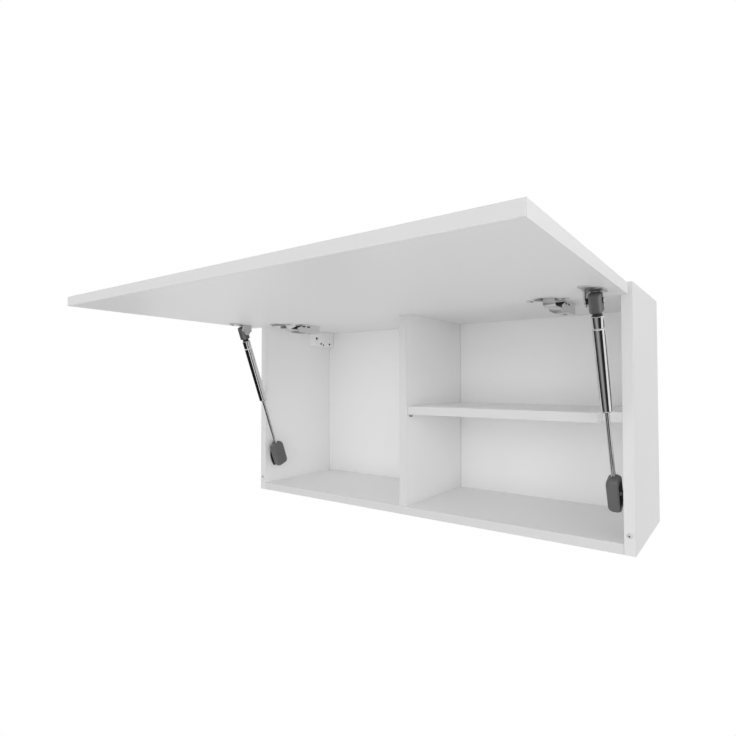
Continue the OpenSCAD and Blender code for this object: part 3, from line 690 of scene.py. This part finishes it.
for side, sign in SIDES:
    rider = f"hinge_link_{side}"
    piece(f"link_strip_{side}", in_carcass(link_strip(), sign), rider, hinge_plating, [rider])
    piece(f"link_eyes_{side}", [in_carcass(link_eye(m), sign) for m in (CUP_PIN, NOSE)], rider,
          hinge_plating, ring_closed=True)

# ---------------------------------------------------------------- stage, light, camera
scene = bpy.context.scene
scene.view_settings.view_transform = "Standard"
WHITE_LIGHT = (1, 1, 1, 1)


def first(tree, kind):
    """The node of this kind that a new tree comes with."""
    return next(n for n in tree.nodes if n.type.startswith(kind))


def show_mix(tree, share, plain, other):
    """Shows two shaders mixed: the share, a socket, is how much there is of the second."""
    both = tree.nodes.new("ShaderNodeMixShader")
    for source, target in zip((share, plain.outputs[0], other.outputs[0]), both.inputs):
        tree.links.new(source, target)
    tree.links.new(both.outputs[0], first(tree, "OUTPUT").inputs[0])


def white_where_seen(tree, plain, kind):
    """Mixes a shader with a white glow, a node of this kind, that only camera, mirror and
    glass rays meet."""
    rays = tree.nodes.new("ShaderNodeLightPath")
    glow = tree.nodes.new(kind)
    glow.inputs[0].default_value = WHITE_LIGHT
    glow.inputs[1].default_value = 1.0
    seen = rays.outputs["Is Camera Ray"]
    for ray in ("Is Glossy Ray", "Is Transmission Ray"):
        either = tree.nodes.new("ShaderNodeMath")
        either.operation = "MAXIMUM"
        tree.links.new(seen, either.inputs[0])
        tree.links.new(rays.outputs[ray], either.inputs[1])
        seen = either.outputs[0]
    show_mix(tree, seen, plain, glow)


def sheet(name, corners, paint_name):
    """One flat four cornered object, and the nodes of its new material."""
    mesh = bpy.data.meshes.new(name)
    mesh.from_pydata(corners, [], [(0, 1, 2, 3)])
    thing = bpy.data.objects.new(name, mesh)
    scene.collection.objects.link(thing)
    paint = bpy.data.materials.new(paint_name)
    paint.use_nodes = True
    mesh.materials.append(paint)
    return thing, paint.node_tree


AIR = 0.545
scene.world = bpy.data.worlds.new("studio")
scene.world.use_nodes = True
air = first(scene.world.node_tree, "BACKGROUND")
air.inputs[0].default_value = WHITE_LIGHT
air.inputs[1].default_value = AIR
white_where_seen(scene.world.node_tree, air, "ShaderNodeBackground")

REACH, FLOOR_Z = 12.0, -1.35
around = [(x * REACH, y * REACH, FLOOR_Z) for x, y in ((-1, -1), (1, -1), (1, 1), (-1, 1))]
floor, floor_nodes = sheet("floor", around, "pale_floor")
floor_shader = first(floor_nodes, "BSDF_PRINCIPLED")
floor_shader.inputs["Base Color"].default_value = (0.85, 0.85, 0.85, 1)
floor_shader.inputs["Roughness"].default_value = 0.9
white_where_seen(floor_nodes, floor_shader, "ShaderNodeEmission")


def soft_lamp(name, at, size, watts):
    """A square soft box at one point, facing the middle of the cabinet. Mirrors don't show it."""
    data = bpy.data.lights.new(name, "AREA")
    data.size, data.energy = size, watts
    lamp = bpy.data.objects.new(name, data)
    lamp.visible_glossy = False
    scene.collection.objects.link(lamp)
    lamp.location = at
    lamp.rotation_mode = "QUATERNION"
    lamp.rotation_quaternion = (Vector(AIM) - Vector(at)).to_track_quat("-Z", "Y")


CARD_REACH, CARD_Y, CARD_FOOT, CARD_TOP = 0.45, -0.29, -0.5, 0.27


def flag(name, side, start, stop, tone, top=CARD_TOP):
    """An upright studio card that only mirror rays meet, and only from the face towards its
    strut: it draws one band in the chrome. In plan it is the chord of a circle round the
    strut, (x, y) = middle + R (sin b, -cos b), between two bearings b in degrees from the
    front to the right. It ends below the open door, which would mirror it."""
    ends = np.radians([start, stop])
    middle = np.array([side * STRUT_X * MM, CARD_Y])
    plan = middle + CARD_REACH * np.stack([np.sin(ends), -np.cos(ends)], -1)
    (ax, ay), (bx, by) = plan.tolist()
    corners = [(ax, ay, top), (bx, by, top), (bx, by, CARD_FOOT), (ax, ay, CARD_FOOT)]
    card, tree = sheet(name, corners, name)
    card.visible_camera = card.visible_diffuse = False
    card.visible_shadow = card.visible_transmission = False
    glow = tree.nodes.new("ShaderNodeEmission")
    glow.inputs[0].default_value = (*grey(tone), 1)
    clear = tree.nodes.new("ShaderNodeBsdfTransparent")
    face = tree.nodes.new("ShaderNodeNewGeometry")
    show_mix(tree, face.outputs["Backfacing"], glow, clear)


# Each card: its strut's side, the two bearings, its tone, and its top if it isn't CARD_TOP.
CARDS = (
    (1, -86, -58, 45), (1, -58, -40, 97), (1, -40, -25, 142), (1, -25, 6, 170), (1, 6, 24, 125),
    (1, 24, 74, 42), (1, 114, 150, 105, 0.36), (-1, -88, -50, 30), (-1, -50, -10, 30),
    (-1, -10, 36, 30),
)
# Each lamp: its name, place, width in metres and watts.
AIM = (0, -0.2, 0.2)
LAMPS = (
    ("key", (2.4, -2.0, 0.5), 1.8, 16.8),
    ("front", (-0.6, -3.2, 0.4), 2.0, 10.4),
    ("middle", (0.3, -2.4, 0.25), 1.2, 5.5),
    ("left", (-1.6, -2.2, 0.3), 1.4, 6.9),
    ("near", (1.0, -1.9, 0.35), 1.0, 2.6),
)
for number, card in enumerate(CARDS):
    flag(f"flag_{number}", *card)
for lamp in LAMPS:
    soft_lamp(*lamp)

# The camera was fitted to the photograph: its focal length in pixels of that picture's width,
# its place, and how far it tilts up and turns left.
PHOTO_WIDTH, FOCAL_PIXELS, FILM = 736.0, 513.65, 36.0
CAMERA_AT, CAMERA_TILT, CAMERA_TURN = (0.5375, -1.0700, 0.2449), 1.53, 36.75
lens = bpy.data.cameras.new("camera")
lens.sensor_width = FILM
lens.lens = FILM * FOCAL_PIXELS / PHOTO_WIDTH
lens.clip_start = 0.02
camera = bpy.data.objects.new("camera", lens)
scene.collection.objects.link(camera)
camera.location = CAMERA_AT
camera.rotation_euler = (math.radians(90 + CAMERA_TILT), 0.0, math.radians(CAMERA_TURN))
scene.camera = camera

bpy.context.view_layer.update()
